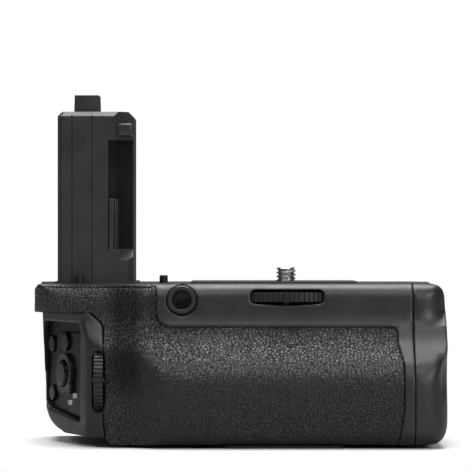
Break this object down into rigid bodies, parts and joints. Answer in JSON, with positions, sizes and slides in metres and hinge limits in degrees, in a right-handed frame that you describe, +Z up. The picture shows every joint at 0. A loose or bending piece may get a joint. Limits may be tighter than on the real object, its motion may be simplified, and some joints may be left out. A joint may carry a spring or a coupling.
{
  "type": "camera battery grip",
  "caption": "Vertical battery grip for a camera: rubber-clad body with a battery stalk, camera screw and wheel, controls on a slanted end and a sliding battery tray.",
  "frame": {"origin": "on the standing plane, under the axis of the camera screw", "axes": "+X towards the battery end cap, +Y towards the back, +Z up along the camera screw"},
  "size_m": [0.1326, 0.0728, 0.1133],
  "materials": {
    "casing_plastic": "fine moulded satin black",
    "grip_rubber": "pebbled leather grain",
    "pad_rubber": "smooth matt rubber",
    "stalk_plastic": "smooth satin black",
    "panel_plastic": "satin black",
    "button_plastic": "semi-gloss black",
    "dial_plastic": "ribbed satin black",
    "steel": "turned steel",
    "black_metal": "black oxide",
    "chassis_metal": "pressed sheet",
    "brass": "plated contacts",
    "board": "solder-masked board",
    "inner_plastic": "plain black moulding"
  },
  "bodies": {
    "casing": {"front_shell": "casing_plastic", "rear_shell": "casing_plastic", "control_pod": "casing_plastic", "control_panel": "panel_plastic", "front_rubber": "grip_rubber", "rear_rubber": "grip_rubber", "deck_plate": "casing_plastic", "deck_pad": "pad_rubber", "bottom_plate": "black_metal", "foot_pad": "pad_rubber", "front_foot": "pad_rubber", "tripod_socket": "steel", "chassis": "chassis_metal", "battery_sleeve": "inner_plastic", "bay_connector": "inner_plastic", "deck_screws": "black_metal", "bottom_screws": "black_metal", "locating_pins": "black_metal", "button_collar": "casing_plastic", "stalk_front": "stalk_plastic", "stalk_rear": "stalk_plastic", "stalk_head": "stalk_plastic", "stalk_contacts": "brass", "stalk_board": "board", "stalk_gasket": "pad_rubber", "panel_board": "board", "panel_domes": "steel", "front_dial_shaft": "steel", "front_dial_fork": "inner_plastic", "rear_dial_shaft": "steel", "rear_dial_fork": "inner_plastic", "stick_housing": "inner_plastic", "rear_board": "board", "rear_domes": "steel", "main_board": "board"},
    "attachment": {"thumb_wheel": "dial_plastic", "camera_screw": "steel", "screw_retainer": "steel"},
    "power_lever": {"power_lever": "dial_plastic"},
    "shutter_button": {"shutter_button": "button_plastic"},
    "exposure_button": {"exposure_button": "button_plastic"},
    "custom_button": {"custom_button": "button_plastic"},
    "side_button": {"side_button": "button_plastic"},
    "front_button": {"front_button": "button_plastic"},
    "front_dial": {"front_dial": "dial_plastic"},
    "rear_dial": {"rear_dial": "dial_plastic"},
    "af_button": {"af_button": "button_plastic"},
    "ael_button": {"ael_button": "button_plastic"},
    "function_button": {"function_button": "button_plastic"},
    "stick_gimbal": {"stick_gimbal": "steel"},
    "stick": {"stick": "dial_plastic", "stick_stem": "steel"},
    "tray": {"battery_tray": "inner_plastic", "tray_contacts": "brass", "tray_plug": "inner_plastic", "end_cap": "casing_plastic"},
    "lock": {"lock_knob": "dial_plastic", "lock_latch": "chassis_metal"}
  },
  "joints": [
    {"name": "attachment_turn", "type": "hinge", "parent": "casing", "child": "attachment", "pos_m": [0, 0, 0.05], "axis": [0, 0, 1], "continuous": true},
    {"name": "power_lever_turn", "type": "hinge", "parent": "casing", "child": "power_lever", "pos_m": [-0.0727, -0.00575, 0.0229], "axis": [-0.9126, -0.4088, 0], "range_deg": [0, 30]},
    {"name": "shutter_press", "type": "slide", "parent": "casing", "child": "shutter_button", "axis": [0.9126, 0.4088, 0], "range_m": [0, 0.0012], "stiffness_N_per_m": 625, "springref_m": -0.0012},
    {"name": "exposure_press", "type": "slide", "parent": "casing", "child": "exposure_button", "axis": [0.9126, 0.4088, 0], "range_m": [0, 0.0004], "stiffness_N_per_m": 2500, "springref_m": -0.0004},
    {"name": "custom_press", "type": "slide", "parent": "casing", "child": "custom_button", "axis": [0.9126, 0.4088, 0], "range_m": [0, 0.0004], "stiffness_N_per_m": 2500, "springref_m": -0.0004},
    {"name": "side_press", "type": "slide", "parent": "casing", "child": "side_button", "axis": [0.9126, 0.4088, 0], "range_m": [0, 0.0004], "stiffness_N_per_m": 2500, "springref_m": -0.0004},
    {"name": "front_press", "type": "slide", "parent": "casing", "child": "front_button", "axis": [0, 1, 0], "range_m": [0, 0.0005], "stiffness_N_per_m": 2000, "springref_m": -0.0005},
    {"name": "front_dial_turn", "type": "hinge", "parent": "casing", "child": "front_dial", "pos_m": [-0.0602, -0.0212, 0.0212], "axis": [1, 0, 0], "continuous": true},
    {"name": "rear_dial_turn", "type": "hinge", "parent": "casing", "child": "rear_dial", "pos_m": [-0.071, 0.0272, 0.0295], "axis": [1, 0, 0], "continuous": true},
    {"name": "af_press", "type": "slide", "parent": "casing", "child": "af_button", "axis": [0, -1, 0], "range_m": [0, 0.0005], "stiffness_N_per_m": 2000, "springref_m": -0.0005},
    {"name": "ael_press", "type": "slide", "parent": "casing", "child": "ael_button", "axis": [0, -1, 0], "range_m": [0, 0.0005], "stiffness_N_per_m": 2000, "springref_m": -0.0005},
    {"name": "function_press", "type": "slide", "parent": "casing", "child": "function_button", "axis": [0, -1, 0], "range_m": [0, 0.0005], "stiffness_N_per_m": 2000, "springref_m": -0.0005},
    {"name": "stick_up_down", "type": "hinge", "parent": "casing", "child": "stick_gimbal", "pos_m": [-0.0555, 0.0304, 0.0262], "axis": [1, 0, 0], "range_deg": [-6, 6], "stiffness_Nm_per_rad": 0.02},
    {"name": "stick_left_right", "type": "hinge", "parent": "stick_gimbal", "child": "stick", "pos_m": [-0.0555, 0.0304, 0.0262], "axis": [0, 0, 1], "range_deg": [-6, 6], "stiffness_Nm_per_rad": 0.02},
    {"name": "tray_slide", "type": "slide", "parent": "casing", "child": "tray", "axis": [1, 0, 0], "range_m": [0, 0.078]},
    {"name": "lock_turn", "type": "hinge", "parent": "tray", "child": "lock", "pos_m": [0.048, 0.006, 0.024], "axis": [1, 0, 0], "range_deg": [0, 90]}
  ]
}
